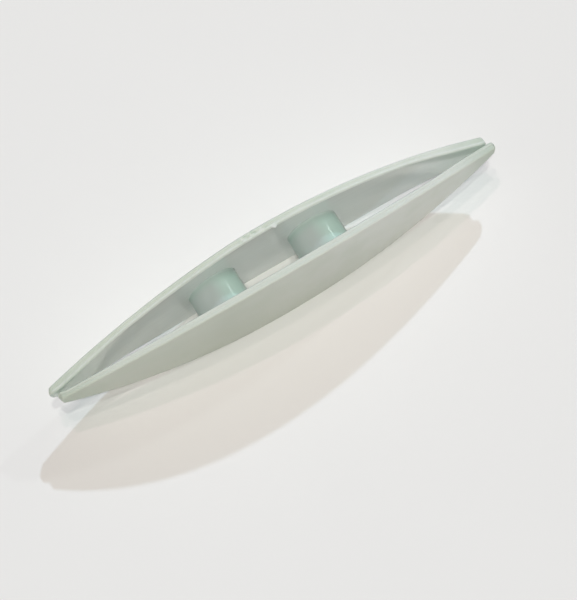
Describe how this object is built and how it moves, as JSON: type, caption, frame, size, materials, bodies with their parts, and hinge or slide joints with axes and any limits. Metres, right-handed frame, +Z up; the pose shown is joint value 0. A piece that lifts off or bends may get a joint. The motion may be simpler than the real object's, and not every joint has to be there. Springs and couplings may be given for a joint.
{
  "type": "tatting shuttle",
  "caption": "Slim boat-shaped tatting shuttle: bowed plastic blades that close at both tips, held apart by round posts the thread is wound around.",
  "frame": {"origin": "under the middle of the shuttle, on the surface that its blades' long edges stand on", "axes": "+X along the shuttle to its right tip, +Y through the blades from the front one to the rear one, +Z up across their width"},
  "size_m": [0.075, 0.0088, 0.018],
  "materials": {
    "blade_plastic": "satin",
    "post_plastic": "gloss"
  },
  "bodies": {
    "root": {"front_blade": "blade_plastic", "rear_blade": "blade_plastic", "left_post": "post_plastic", "right_post": "post_plastic"}
  },
  "joints": []
}
